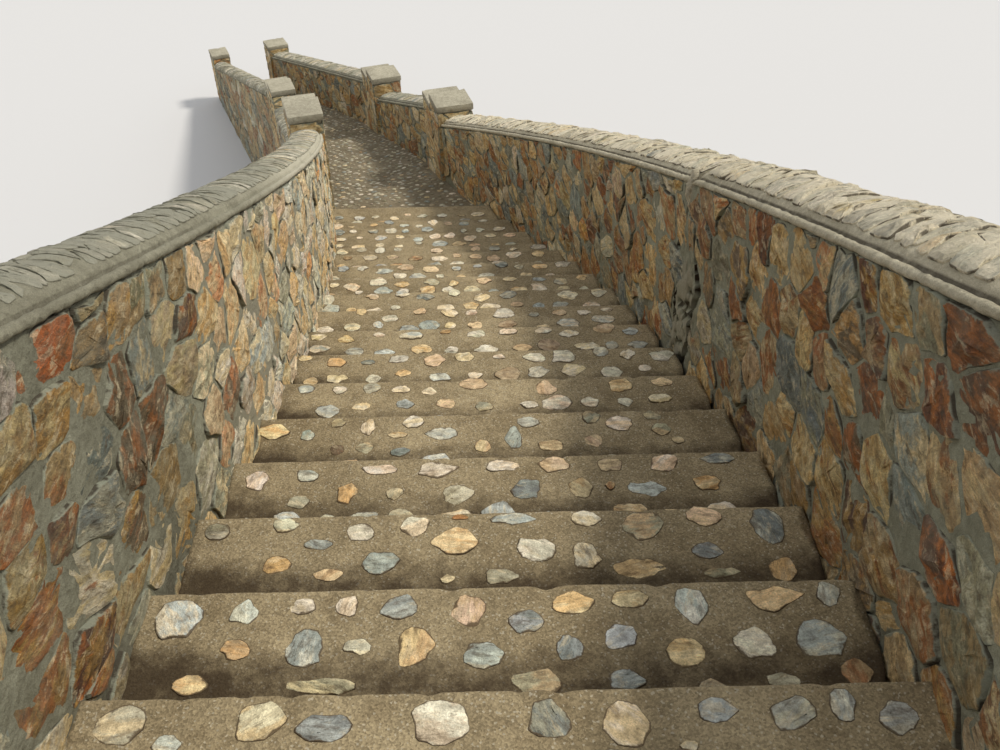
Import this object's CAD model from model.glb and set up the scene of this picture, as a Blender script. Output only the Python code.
"""Looks of the outdoor stone steps: single stones, mortar, worn treads, copings, caps and pebbles."""
import math

import bpy
import numpy as np
from mathutils import Matrix, Vector


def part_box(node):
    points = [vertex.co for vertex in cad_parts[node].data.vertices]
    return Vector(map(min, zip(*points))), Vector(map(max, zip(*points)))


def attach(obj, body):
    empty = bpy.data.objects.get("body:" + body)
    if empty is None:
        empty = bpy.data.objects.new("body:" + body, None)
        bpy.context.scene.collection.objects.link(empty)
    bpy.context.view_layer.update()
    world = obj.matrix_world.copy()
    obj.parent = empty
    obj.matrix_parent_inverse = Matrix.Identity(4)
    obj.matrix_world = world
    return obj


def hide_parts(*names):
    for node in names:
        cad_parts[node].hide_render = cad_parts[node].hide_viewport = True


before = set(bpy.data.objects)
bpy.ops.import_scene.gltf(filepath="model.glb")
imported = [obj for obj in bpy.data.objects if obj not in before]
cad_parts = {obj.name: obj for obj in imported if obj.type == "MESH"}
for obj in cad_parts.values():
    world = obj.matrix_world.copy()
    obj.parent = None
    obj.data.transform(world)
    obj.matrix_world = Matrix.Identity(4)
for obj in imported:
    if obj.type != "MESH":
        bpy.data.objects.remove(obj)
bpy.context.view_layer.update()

# Sizes of the frame, in metres and degrees: the flight
LEFT, RIGHT = -1, 1
WORD = {LEFT: "left", RIGHT: "right"}
TREADS, RISER, TREAD, FOOT_TREADS = 17, 0.15, 0.36, (0.32, 0.40, 0.43, 0.47)
UPPER = TREADS - len(FOOT_TREADS)
HALF_WAY, BEND_START = 0.795, 1.1
RADIUS = {LEFT: 26.0, RIGHT: 16.5}
THICK = {LEFT: 0.21, RIGHT: 0.27}
PAST_STEPS = 1.09
PARAPET, GRADE = 0.76, 0.4275
# The copings, of which the right one rises more above its joint, and the roll along their inner edge
RISE, LIFT, JOINT_Y, OVERHANG, BEAD = 0.072, 0.012, 2.55, 0.010, 0.016
# The blocks of the piers, and their caps with the neck under them
BLOCK, PROUD, BLOCK_DROP = 0.30, 0.035, 0.1
CAP_OVER, CAP_THICK, CAP_BED, NECK_IN = 0.012, 0.088, 0.030, 0.008
# The turns and lengths along the ramp, its walls' heights at the ends of each bay, and its slopes
FOOT_TURN = {LEFT: 14.5, RIGHT: 15.0}
MIDDLE_TURN = {LEFT: 18.5, RIGHT: 18.0}
TURN_1 = {LEFT: 14.5, RIGHT: 20.25}
TURN_2 = {LEFT: 22.5, RIGHT: 24.5}
BAY_1 = {LEFT: 3.0, RIGHT: 1.96}
BAY_2 = {LEFT: 4.55, RIGHT: 4.92}
BAY_TOPS_1, BAY_TOPS_2 = (0.57, 0.39), (0.52, 0.43)
UPPER_GRADE, LOWER_GRADE, RAMP_TURN, RAMP_END = 0.20, 0.28, 20.0, 0.10
# Where the stones of outer faces end, and the least level of any stone
FOOT_Z, LOWEST = 0.03, 0.006
BACK_Y, LANDING_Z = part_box("landing")[0].y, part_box("landing")[1].z


def along(turn):
    """The way on down a wall, in plan."""
    return np.array([-math.sin(math.radians(turn)), math.cos(math.radians(turn))])


def outward(side, turn):
    """The way out through a wall, in plan."""
    return side * np.array([math.cos(math.radians(turn)), math.sin(math.radians(turn))])


def edge_y(k):
    """Where tread k ends, the first being 0."""
    return min(k + 1, UPPER) * TREAD + sum(FOOT_TREADS[: max(0, k + 1 - UPPER)])


def tread_z(k):
    return LANDING_Z - (k + 1) * RISER


def parapet_z(y):
    return LANDING_Z + PARAPET - GRADE * y


def inner_x(side, y):
    r = RADIUS[side]
    return side * HALF_WAY - (r - np.sqrt(r * r - np.maximum(0.0, np.asarray(y) - BEND_START) ** 2))


def inner(side, y):
    """A plan point of the inner face of a parapet."""
    return np.array([float(inner_x(side, y)), y])


STEPS_Y = edge_y(TREADS - 1)
FOOT = {LEFT: inner(LEFT, STEPS_Y), RIGHT: inner(RIGHT, STEPS_Y + PAST_STEPS)}
FOOT_END = {s: FOOT[s] + 2 * BLOCK * along(FOOT_TURN[s]) for s in WORD}
MIDDLE = {s: FOOT_END[s] + BAY_1[s] * along(TURN_1[s]) for s in WORD}
MIDDLE_END = {s: MIDDLE[s] + 2 * BLOCK * along(MIDDLE_TURN[s]) for s in WORD}
END = {s: MIDDLE_END[s] + BAY_2[s] * along(TURN_2[s]) for s in WORD}
BREAK = FOOT[RIGHT] + BLOCK / 2 * along(FOOT_TURN[RIGHT])
BREAK_Z = RAMP_END + LOWER_GRADE * float(
    (END[RIGHT] + BLOCK * along(TURN_2[RIGHT]) - BREAK) @ along(RAMP_TURN))
# The two bays of ramp wall: start, end, turn, turns of the piers at its ends, and its heights over the ramp
BAYS = (
    (FOOT_END, MIDDLE, TURN_1, (FOOT_TURN, MIDDLE_TURN), BAY_TOPS_1),
    (MIDDLE_END, END, TURN_2, (MIDDLE_TURN, TURN_2), BAY_TOPS_2),
)


def wall_turns(side, ys):
    """The turn of a parapet at each y, which its pier gives at its end."""
    bends = [math.degrees(math.asin(max(0.0, y - BEND_START) / RADIUS[side])) for y in ys]
    return [turn if y < FOOT[side][1] - 1e-6 else FOOT_TURN[side] for y, turn in zip(ys, bends)]


def ramp_z(p):
    """Level of the paved ramp at plan points, the last axis being x and y."""
    q = np.asarray(p) - BREAK
    return np.minimum(BREAK_Z - UPPER_GRADE * q[..., 1], BREAK_Z - LOWER_GRADE * (q @ along(RAMP_TURN)))


def bay_tops(side, bay):
    """Levels of a ramp wall's top at its two ends."""
    return [float(ramp_z(place[side])) + high for place, high in zip(bay[:2], bay[4])]


# Joined meshes with values on their points
def volume(co, faces):
    """Signed volume inside a closed set of faces."""
    fans = [(f[0], f[i], f[i + 1]) for f in faces for i in range(1, len(f) - 1)]
    a, b, c = np.swapaxes(co[np.array(fans)], 0, 1)
    return np.sum(a * np.cross(b, c)) / 6


def turned(faces):
    return [tuple(f)[::-1] for f in faces]


GREY = (0.5, 0.5, 0.5, 0.0)


class Mass:
    """Collects many small shapes into one mesh. Each point has two colours, whose fourth values are the
    shares of rust and of mortar film, a dirt value and a place on a flat map."""

    def __init__(self):
        self.co, self.faces, self.tone, self.tint, self.dirt, self.uv, self.n = [], [], [], [], [], [], 0

    def add(self, co, faces, tone=GREY, tint=GREY, dirt=0.0, uv=0.0, closed=False):
        co = np.asarray(co, float).reshape(-1, 3)
        if closed and volume(co - co.mean(0), faces) < 0:
            faces = turned(faces)
        self.co.append(co)
        self.faces.extend([tuple(int(i) + self.n for i in f) for f in faces])
        for rows, value, shape in (
            (self.tone, tone, (len(co), 4)), (self.tint, tint, (len(co), 4)),
            (self.dirt, dirt, (len(co),)), (self.uv, uv, (len(co), 2)),
        ):
            rows.append(np.broadcast_to(value, shape))
        self.n += len(co)

    def build(self, name, material, slot, replaces=(), sharp=32.0):
        mesh = bpy.data.meshes.new(name)
        mesh.from_pydata(np.concatenate(self.co), [], self.faces)
        for key, rows in (("tone", self.tone), ("tint", self.tint)):
            attribute = mesh.color_attributes.new(key, "FLOAT_COLOR", "POINT")
            attribute.data.foreach_set("color", np.concatenate(rows).astype(np.float32).ravel())
        attribute = mesh.attributes.new("dirt", "FLOAT", "POINT")
        attribute.data.foreach_set("value", np.concatenate(self.dirt).astype(np.float32))
        index = np.zeros(len(mesh.loops), np.int32)
        mesh.loops.foreach_get("vertex_index", index)
        layer = mesh.uv_layers.new(name="UVMap")
        layer.data.foreach_set("uv", np.concatenate(self.uv)[index].astype(np.float32).ravel())
        mesh.polygons.foreach_set("use_smooth", np.ones(len(mesh.polygons), bool))
        mesh.update()
        if sharp:
            mesh.set_sharp_from_angle(angle=math.radians(sharp))
        mesh.materials.append(material)
        piece = bpy.data.objects.new(name, mesh)
        bpy.context.scene.collection.objects.link(piece)
        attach(piece, "root")
        if replaces:
            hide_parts(*replaces)


def ripple(x, y, seed, scale, octaves=3):
    """Smooth noise from -1 to 1, as waves in seeded directions. scale is the longest wave's length."""
    rng = np.random.default_rng(seed)
    total, weight, power = 0.0, 0.0, 1.0
    for octave in range(octaves):
        for _ in range(3):
            a = rng.uniform(0, 2 * math.pi)
            f = 2 * math.pi / scale * 2**octave * rng.uniform(0.7, 1.4)
            wave = np.sin(f * (math.cos(a) * x + math.sin(a) * y) + rng.uniform(0, 2 * math.pi))
            total = total + power * wave
            weight += power * 0.75
        power *= 0.55
    return total / weight


def loft(mass, rings, **values):
    """A closed skin through equal rings of points, with flat ends."""
    rings = np.asarray(rings, float)
    n, m = rings.shape[:2]
    index = np.arange(n * m).reshape(n, m)
    index = np.c_[index, index[:, :1]]
    quads = np.stack([index[:-1, :-1], index[:-1, 1:], index[1:, 1:], index[1:, :-1]], -1).reshape(-1, 4)
    faces = [tuple(f) for f in quads] + [tuple(range(m))[::-1], tuple(range((n - 1) * m, n * m))]
    mass.add(rings, faces, closed=True, **values)


def dome(n, rings):
    """Faces of a stack of rings of n points, and those that close its last ring with a tip."""
    last = (rings - 1) * n
    around = [(i, (i + 1) % n) for i in range(n)]
    sides = [(r + a, r + b, r + b + n, r + a + n) for r in range(0, last, n) for a, b in around]
    return sides, [(last + a, last + b, last + n) for a, b in around]


# Surfaces that carry stones
class Strip:
    """A face of masonry: a line in plan, the way it faces, and the levels of its top and foot."""

    def __init__(self, points, normals, top, low):
        self.p, self.n = np.array(points, float), np.array(normals, float)
        self.u = np.r_[0, np.cumsum(np.linalg.norm(np.diff(self.p, axis=0), axis=1))]
        self.top, self.low = [np.broadcast_to(np.asarray(q, float), self.u.shape) for q in (top, low)]

    def at(self, u, v, d):
        """Points u along the face, v under its top and d out of it."""
        x, y, nx, ny, z = [np.interp(u, self.u, q) for q in (*self.p.T, *self.n.T, self.top)]
        return np.stack([x + d * nx, y + d * ny, np.maximum(z - v, LOWEST)], -1)

    def depth(self, u):
        return float(np.interp(u, self.u, self.top - self.low))


def cut(poly, nx, ny, c):
    """The part of a convex polygon where nx * x + ny * y <= c."""
    out = []
    for a, b in zip(poly[-1:] + poly[:-1], poly):
        da, db = nx * a[0] + ny * a[1] - c, nx * b[0] + ny * b[1] - c
        if (da <= 0) != (db <= 0):
            t = da / (da - db)
            out.append((a[0] + t * (b[0] - a[0]), a[1] + t * (b[1] - a[1])))
        if db <= 0:
            out.append(b)
    return out


def courses(length, deep, long, high, tilt, rng, fixed=()):
    """Seeds of stones in rough rows, their long axes turned by tilt from u to v: u, v, weight and colour."""
    c, s = math.cos(tilt), math.sin(tilt)
    seeds, reach = [], length + deep + long
    b = -length * abs(s) - deep
    while b < deep + length * abs(s) + high:
        h = high * rng.uniform(0.6, 1.45)
        a = -deep - long * rng.random()
        while a < reach:
            w = long * rng.choice([0.5, 0.8, 1.1, 1.6], p=[0.2, 0.3, 0.3, 0.2]) * rng.uniform(0.85, 1.2)
            x, y = a + w / 2, b + h / 2 + rng.normal(0, high * 0.24)
            u, v = c * x - s * y, s * x + c * y
            if -long < u < length + long and -high < v < deep + high:
                seeds.append((u, v, rng.uniform(0, 1.0) + (w / long - 0.8), None))
            a += w
        b += h
    if fixed:
        f = np.array([q[:2] for q in fixed])
        near = np.array([1.0, 0.75 * long / high])
        seeds = [q for q in seeds if np.min(np.linalg.norm((f - q[:2]) * near, axis=1)) > 0.66 * long]
        seeds += [(u, v, rng.uniform(0.2, 1.1), code) for u, v, code in fixed]
    return seeds


def cells(seeds, length, depth, long, high, tilt, joint, rng, over=0.0, wide=None):
    """Polygon and colour of each stone: a power diagram of the seeds, shrunk by the joints."""
    p = np.array([s[:2] for s in seeds])
    weight = np.array([s[2] for s in seeds]) * (0.5 * high) ** 2
    squeeze = (high / long) ** 2
    c, s = math.cos(tilt), math.sin(tilt)
    m11, m22, m12 = squeeze * c * c + s * s, squeeze * s * s + c * c, (squeeze - 1) * c * s
    far = 1.5 * long
    out = []
    for i, (x, y) in enumerate(p):
        poly = [(x - far, y - far), (x + far, y - far), (x + far, y + far), (x - far, y + far)]
        gap = joint * rng.uniform(0.4, 1.6)
        q = p - (x, y)
        n = np.c_[m11 * q[:, 0] + m12 * q[:, 1], m12 * q[:, 0] + m22 * q[:, 1]]
        apart = n[:, 0] * q[:, 0] + n[:, 1] * q[:, 1]
        for j in np.argsort(apart)[1:19]:
            nx, ny = n[j]
            back = gap * rng.uniform(0.4, 1.6)
            if wide is not None:
                back += wide((x + p[j, 0]) / 2, (y + p[j, 1]) / 2)
            middle = (apart[j] + weight[i] - weight[j]) / 2
            poly = cut(poly, nx, ny, nx * x + ny * y + middle - back * math.hypot(nx, ny))
            if len(poly) < 3:
                break
        slope = (depth(x + 0.05) - depth(x - 0.05)) / 0.1
        for nx, ny, c in (
            (-1, 0, over), (1, 0, length + over), (0, -1, -0.002), (-slope, 1, depth(x) - slope * x),
        ):
            poly = cut(poly, nx, ny, c)
        if len(poly) < 3:
            continue
        a = np.array(poly)
        b = np.roll(a, -1, 0)
        area = abs(np.sum(a[:, 0] * b[:, 1] - b[:, 0] * a[:, 1])) / 2
        if area > 0.10 * long * high:
            out.append((a, seeds[i][3]))
    return out


def outline(poly, space, rng, rough, corner):
    """A ring of points about space apart round a polygon, with chipped corners and broken edges."""
    a = np.asarray(poly, float)
    if np.sum(a[:, 0] * np.roll(a[:, 1], -1) - np.roll(a[:, 0], -1) * a[:, 1]) < 0:
        a = a[::-1]
    size = np.linalg.norm(np.roll(a, -1, 0) - a, axis=1)
    keep = size > 0.006
    a = a[keep] if keep.sum() > 2 else a
    edges = np.roll(a, -1, 0) - a
    size = np.linalg.norm(edges, axis=1)
    chip = np.minimum(corner * rng.uniform(0.3, 1.8, len(a)), 0.33 * np.minimum(size, np.roll(size, 1)))
    ring = []
    for i, (edge, long) in enumerate(zip(edges, size)):
        e = edge / long
        start, end = a[i] + chip[i] * e, a[i] + edge - chip[(i + 1) % len(a)] * e
        m = max(1, int(round((long - chip[i]) / space)))
        t = np.linspace(0, 1, m + 1)
        bow = rng.normal(0, 0.035) * long * 4 * t * (1 - t)
        off = bow + rng.normal(0, rough, m + 1)
        ring.append(start + t[:, None] * (end - start) + off[:, None] * np.array([e[1], -e[0]]))
    return np.vstack(ring)


def add_stone(mass, at, ring, rng, proud, pair, bury=0.012, fine=True, rough=1.0, grime=1.0, soft=0.0):
    """One stone: a ring of points raised from the mortar to a split face with a few cleaved facets."""
    n, middle = len(ring), ring.mean(0)
    arm = ring - middle
    far = np.maximum(np.linalg.norm(arm, axis=1), 1e-4)
    mean = far.mean()
    tilt = rng.normal(0, 0.05 * rough, 2)
    facets = []
    for _ in range(3 if fine else 2):
        a = rng.uniform(0, 2 * math.pi)
        facets.append((math.cos(a), math.sin(a), rng.uniform(0.15, 0.6) * rough, rng.uniform(0.1, 0.8)))

    def height(p):
        q = p - middle
        h = q @ tilt - soft * proud * np.sum(q * q, -1) / mean**2
        for cx, cy, grade, start in facets:
            h = h + np.minimum(0, grade * (start * mean - (q[:, 0] * cx + q[:, 1] * cy)))
        return proud + np.clip(h, -0.6 * proud, 0.4 * proud)

    def inset(d):
        return middle + arm * (1 - np.minimum(d, 0.6 * far) / far)[:, None]

    edge = min(0.0038, 0.10 * mean)
    jitter = 0.07 * proud
    high = (0.94 - 0.2 * soft) * height(inset(edge)) + rng.normal(0, jitter, n)
    if fine:
        p = inset(4.5 * edge)
        layers = [(inset(-0.003), np.full(n, -bury), 1.0), (ring, 0.5 * height(ring), 1.0),
                  (inset(edge), high, 0.5), (p, height(p) + rng.normal(0, jitter * 1.6, n), 0.05)]
    else:
        layers = [(inset(-0.002), np.full(n, -0.004), 1.0), (inset(edge), high, 0.5)]
    p = middle + arm * 0.45 * rng.uniform(0.75, 1.25, (n, 1))
    layers.append((p, height(p) + rng.normal(0, jitter * 2, n), 0.0))
    p = middle + rng.normal(0, 0.10 * mean, 2)
    flat = np.vstack([q for q, _, _ in layers] + [p])
    d = np.concatenate([h for _, h, _ in layers] + [height(p[None]) + rng.normal(0, jitter)])
    dirt = np.concatenate([np.full(n, g) for _, _, g in layers] + [[0.0]]) * grime
    sides, tip = dome(n, len(layers))
    faces = sides + tip
    # A short step along u, v and d shows which way round the faces have to run
    u, v, out = np.eye(3, 4, 1) * 1e-3
    o, du, dv, dd = at(middle[0] + u, middle[1] + v, out)
    if np.dot(np.cross(du - o, dv - o), dd - o) < 0:
        faces = turned(faces)
    spread = arm.T @ arm
    turn = 0.5 * math.atan2(2 * spread[0, 1], spread[0, 0] - spread[1, 1]) + rng.normal(0, 0.2)
    c, s = math.cos(turn), math.sin(turn)
    q = flat - middle
    uv = np.c_[c * q[:, 0] + s * q[:, 1], c * q[:, 1] - s * q[:, 0]] + rng.uniform(-20, 20, 2)
    mass.add(at(flat[:, 0], flat[:, 1], d), faces, *pair, dirt, uv)


# Colours of the stones, each under a letter
PAINT = dict(
    w=(0.87, 0.83, 0.74), c=(0.83, 0.74, 0.54), t=(0.70, 0.58, 0.40), p=(0.77, 0.66, 0.52),
    o=(0.73, 0.57, 0.31), r=(0.65, 0.39, 0.17), m=(0.39, 0.25, 0.185), b=(0.56, 0.59, 0.565),
    f=(0.76, 0.40, 0.17), s=(0.43, 0.465, 0.455), g=(0.57, 0.55, 0.44), d=(0.43, 0.36, 0.27),
    k=(0.71, 0.695, 0.60),
)
PAIRS = dict(w="kcp", c="oow", t="cor", p="cwt", o="ccr", r="oct", m="rto", b="skc", f="fro", s="bgk",
             g="ktc", d="tor", k="bwc")
RUSTY = dict(c=0.42, t=0.5, p=0.33, o=0.6, r=0.8, m=0.5, g=0.25, d=0.4, k=0.15, b=0.12)
WALL_MIX = "ccccccttttttoooooorrmbbsgppkkd"
PALE_MIX = "wwwwwwcccccctoppkkkbg"
OUTER_MIX = "cccctttttooorrmbbsggppkkdd"
TREAD_MIX = "wwwwcccpptbbbskkkk"
CREST_MIX = "wwwwwwwkkkkkkcggb"
BUFF_MIX = "ccoottcccotg"
PEBBLE_MIX = "kkkkkgggcwb"


def linear(c):
    """An sRGB colour as the linear one that the shaders use."""
    return [x / 12.92 if x <= 0.04045 else ((x + 0.055) / 1.055) ** 2.4 for x in c]


def colours(code, rng, mix, rust=1.0, film=0.0, pale=1.0, grey=0.0):
    """A main and a second colour for a stone, each a little off the named one, with rust and mortar film."""
    code = code or mix[rng.integers(len(mix))]
    other = PAIRS[code][rng.integers(len(PAIRS[code]))]
    light = rng.normal(1, 0.17) * pale
    extra = (RUSTY.get(code, 0.06) * rng.uniform(0.2, 1.5) * rust, film * rng.uniform(0.5, 1.3))
    out = []
    for c, more in zip((code, other), extra):
        c = np.array(linear(PAINT[c]))
        c = c + grey * (c.mean() - c)
        c = c * light * rng.normal(1, (0.02, 0.012, 0.03))
        out.append(np.r_[np.clip(c * min(1.0, 0.86 / c.max()), 0.01, 0.9), min(more, 1.0)])
    return out


# Materials
class Shader:
    """The nodes of a material or a world, with short calls for what they need."""

    def __init__(self, owner):
        self.owner = owner
        owner.use_nodes = True
        self.tree = owner.node_tree

    def put(self, socket, value):
        if isinstance(value, bpy.types.NodeSocket):
            self.tree.links.new(value, socket)
        else:
            socket.default_value = value

    def node(self, kind, **inputs):
        n = self.tree.nodes.new("ShaderNode" + kind)
        for key, value in inputs.items():
            if key in n.inputs:
                self.put(n.inputs[key], value)
            else:
                setattr(n, key, value)
        return n

    def math(self, op, a, b=0.0, clamp=False):
        n = self.node("Math", operation=op, use_clamp=clamp)
        self.put(n.inputs[0], a)
        self.put(n.inputs[1], b)
        return n.outputs[0]

    def mix(self, fac, a, b, blend="MIX"):
        n = self.node("Mix", data_type="RGBA", blend_type=blend)
        self.put(n.inputs[0], fac)
        for socket, value in ((n.inputs[6], a), (n.inputs[7], b)):
            self.put(socket, value if isinstance(value, bpy.types.NodeSocket) else (*value, 1.0))
        return n.outputs[2]

    def where(self, scale=(1, 1, 1), flat=False):
        place = self.node("TexCoord").outputs["UV" if flat else "Object"]
        return self.node("Mapping", Vector=place, Scale=scale).outputs[0]

    def bedded(self, across, along, detail, rough, twist=0.0):
        """Noise drawn out along the bedding of each stone."""
        return self.noise(self.where((across, along, across), True), 1.0, detail, rough, twist)

    def noise(self, place, scale, detail=4.0, rough=0.55, twist=0.0):
        n = self.node("TexNoise", Vector=place, Scale=scale, Detail=detail, Roughness=rough, Distortion=twist)
        return n.outputs[0]

    def spread(self, value, low, high, to_low=0.0, to_high=1.0):
        n = self.node("MapRange", Value=value, clamp=True)
        for i, x in enumerate((low, high, to_low, to_high)):
            n.inputs[i + 1].default_value = x
        return n.outputs[0]

    def over(self, colour, value, low, high, share, new):
        """Lays up to a share of a new colour over another, as value runs from low to high."""
        new = linear(new) if isinstance(new, tuple) else new
        return self.mix(self.spread(value, low, high, 0.0, share), colour, new)

    def grade(self, colour, value, dark, light):
        """Multiplies a colour by a grey between dark and light."""
        return self.mix(1.0, colour, self.mix(value, dark, light), "MULTIPLY")

    def shade(self, colour, value, low, high, dark, light):
        return self.grade(colour, self.spread(value, low, high), dark, light)

    def attribute(self, name, part="Color"):
        return self.node("Attribute", attribute_name=name).outputs[part]

    def bump(self, height, strength, distance, **below):
        """A bump, over the one that Normal gives."""
        return self.node("Bump", Height=height, Strength=strength, Distance=distance, **below).outputs[0]

    def finish(self, colour, roughness, specular, **bump):
        values = {"Base Color": colour, "Roughness": roughness, "Specular IOR Level": specular, **bump}
        for key, value in values.items():
            self.put(self.tree.nodes["Principled BSDF"].inputs[key], value)
        return self.owner


SOIL = (0.20, 0.155, 0.11)


def stone_material(name, smear, stains=1.0, relief=1.0, patchy=0.22, veins=1.0, crevice=0.85, cover=0.0):
    """Split stone: two colours and rust in blotches along its bedding, veins, grain, and a rim of mortar."""
    s = Shader(bpy.data.materials.new(name))
    dirt = s.attribute("dirt", "Fac")
    blotch = s.bedded(9, 20, 6, 0.68, 0.35)
    share = s.spread(blotch, 0.46, 0.55, 0.0, 0.85 * stains)
    colour = s.mix(share, s.attribute("tone"), s.attribute("tint"))
    wash = s.bedded(15, 38, 6, 0.72, 0.4)
    colour = s.over(colour, wash, 0.53, 0.61, 0.6 * stains, (0.86, 0.80, 0.67))
    colour = s.over(colour, wash, 0.46, 0.38, 0.6 * stains, (0.34, 0.26, 0.17))
    stain = s.bedded(8, 27, 7, 0.72, 0.3)
    level = s.math("MULTIPLY_ADD", s.attribute("tone", "Alpha"), 0.30)
    level.node.inputs[2].default_value = -0.72
    level = s.math("ADD", level, stain)
    rusty = s.over(linear((0.64, 0.38, 0.15)), s.bedded(14, 50, 4, 0.65), 0.4, 0.6, 1.0, (0.40, 0.22, 0.13))
    colour = s.over(colour, level, -0.02, 0.05, 0.85, rusty)
    streak = s.bedded(16, 95, 5, 0.72, 0.5)
    dark, light = [(x, x - 0.01, x - 0.03) for x in (1 - 0.34 * veins, 1 + 0.26 * veins)]
    colour = s.shade(colour, streak, 0.32, 0.68, dark, light)
    grain = s.where(flat=True)
    mottle = s.noise(grain, 34, 6, 0.74)
    colour = s.shade(colour, mottle, 0.36, 0.64, (0.64, 0.62, 0.59), (1.28, 1.28, 1.26))
    speck = s.noise(grain, 240, 3, 0.75)
    colour = s.shade(colour, speck, 0.34, 0.66, (0.76, 0.75, 0.74), (1.18, 1.18, 1.17))
    place = s.where()
    colour = s.over(colour, s.noise(place, 2.1, 4, 0.6, 0.3), 0.48, 0.7, patchy, (0.40, 0.38, 0.29))
    dark, light = [[x * part for x in linear(smear)] for part in (0.72, 1.25)]
    paste = s.mix(s.noise(place, 420, 2, 0.7), dark, light)
    thin = s.spread(s.noise(place, 9, 6, 0.66, 0.5), 0.36 - cover, 0.62 - cover)
    colour = s.mix(s.math("MULTIPLY", thin, s.attribute("tint", "Alpha"), clamp=True), colour, paste)
    broken = s.spread(s.noise(place, 30, 4, 0.62), 0.28, 0.72, -0.4, 0.4)
    colour = s.over(colour, s.math("ADD", dirt, broken), 0.46, 0.66, 0.9, paste)
    crack = s.spread(s.noise(place, 17, 4, 0.65), 0.44, 0.54, 0.0, crevice)
    colour = s.mix(s.math("MULTIPLY", crack, s.spread(dirt, 0.6, 0.85)), colour, linear(SOIL))
    layer = s.bump(streak, 0.6 * relief, 0.005)
    layer = s.bump(s.noise(grain, 34, 6, 0.7), 0.9 * relief, 0.009, Normal=layer)
    layer = s.bump(speck, 0.5 * relief, 0.002, Normal=layer)
    return s.finish(colour, s.spread(speck, 0.3, 0.7, 0.72, 0.92), 0.25, Normal=layer)


def mortar_material(name, base, dark, dirty=0.6, relief=1.0, fresh=(0.61, 0.585, 0.51)):
    """Sandy mortar with lumps and weathering."""
    s = Shader(bpy.data.materials.new(name))
    place, dirt = s.where(), s.attribute("dirt", "Fac")
    sand = s.noise(place, 420, 3, 0.75)
    lumps = s.noise(place, 38, 5, 0.62)
    colour = s.over(linear(base), s.noise(place, 4.5, 6, 0.62, 0.5), 0.36, 0.64, dirty, dark)
    colour = s.shade(colour, sand, 0.28, 0.72, (0.68, 0.66, 0.63), (1.26, 1.25, 1.22))
    colour = s.shade(colour, lumps, 0.3, 0.7, (0.80, 0.79, 0.77), (1.13, 1.13, 1.12))
    broken = s.spread(s.noise(place, 14, 5), 0.1, 0.5)
    colour = s.over(colour, dirt, -0.2, -1.0, 0.8, fresh)
    colour = s.mix(s.math("MULTIPLY", dirt, broken, clamp=True), colour, linear(SOIL))
    layer = s.bump(sand, 0.6 * relief, 0.003, Normal=s.bump(lumps, 0.8 * relief, 0.014))
    return s.finish(colour, 0.92, 0.15, Normal=layer)


def concrete_material(name):
    """Worn tread concrete: exposed sand, stains, and soil at the back and in the corners."""
    s = Shader(bpy.data.materials.new(name))
    place = s.where()
    cell, grit = [s.node("TexVoronoi", Vector=place, Scale=scale) for scale in (250.0, 600.0)]
    cloud = s.noise(place, 3.0, 6, 0.62, 0.4)
    patch = s.noise(place, 14, 5, 0.6, 0.6)
    colour = s.over(linear((0.64, 0.585, 0.47)), cloud, 0.36, 0.66, 1.0, (0.52, 0.47, 0.37))
    colour = s.over(colour, patch, 0.48, 0.68, 0.55, (0.45, 0.395, 0.30))
    tints = s.node("SeparateColor", Color=cell.outputs["Color"])
    colour = s.grade(colour, tints.outputs[0], (0.70, 0.69, 0.67), (1.28, 1.27, 1.24))
    fine = s.node("SeparateColor", Color=grit.outputs["Color"]).outputs[1]
    colour = s.grade(colour, fine, (0.88, 0.87, 0.86), (1.11, 1.10, 1.09))
    pale = s.math("GREATER_THAN", tints.outputs[2], 0.95)
    colour = s.mix(s.math("MULTIPLY", pale, 0.4), colour, linear((0.80, 0.77, 0.69)))
    broken = s.spread(s.noise(place, 15, 6, 0.7), 0.3, 0.7, -0.3, 0.3)
    reach = s.math("ADD", s.attribute("dirt", "Fac"), broken)
    colour = s.over(colour, reach, 0.15, 0.95, 0.86, SOIL)
    layer = s.bump(cell.outputs["Distance"], 0.4, 0.002)
    layer = s.bump(s.noise(place, 60, 5, 0.65), 0.5, 0.005, Normal=layer)
    return s.finish(colour, 0.93, 0.15, Normal=layer)


WALL_STONE = stone_material("wall_stone", (0.56, 0.57, 0.50), relief=1.5, veins=0.85)
TREAD_STONE = stone_material("tread_stone", (0.36, 0.30, 0.22), stains=0.8, relief=0.9, patchy=0.03,
                             veins=0.7)
CREST_STONE = stone_material("coping_stone", (0.60, 0.59, 0.52), stains=0.4, relief=1.6, patchy=0.1,
                             veins=0.8, crevice=0.2, cover=0.12)
PALE_STONE = stone_material("pale_coping_stone", (0.93, 0.885, 0.775), stains=0.6, relief=2.6, patchy=0.02,
                            veins=1.4, crevice=0.8)
PEBBLE = stone_material("pebble", (0.40, 0.365, 0.30), stains=0.4, relief=0.4, veins=0.5)
JOINTS = mortar_material("wall_mortar", (0.625, 0.63, 0.56), (0.41, 0.405, 0.34))
CREST = mortar_material("coping_mortar", (0.62, 0.61, 0.54), (0.48, 0.47, 0.405), relief=1.4,
                        fresh=(0.80, 0.775, 0.69))
PALE_CREST = mortar_material("pale_coping_mortar", (0.84, 0.81, 0.72), (0.66, 0.63, 0.54), relief=1.7)
CAPS = mortar_material("cap_slab", (0.72, 0.70, 0.63), (0.56, 0.54, 0.48))
BED = mortar_material("ramp_mortar", (0.56, 0.52, 0.44), (0.43, 0.395, 0.325), dirty=0.7)
CONCRETE = concrete_material("tread_concrete")
for node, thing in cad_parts.items():
    thing.data.materials.clear()
    thing.data.materials.append(BED if node == "ramp" else CAPS if "caps" in node else JOINTS)

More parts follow.
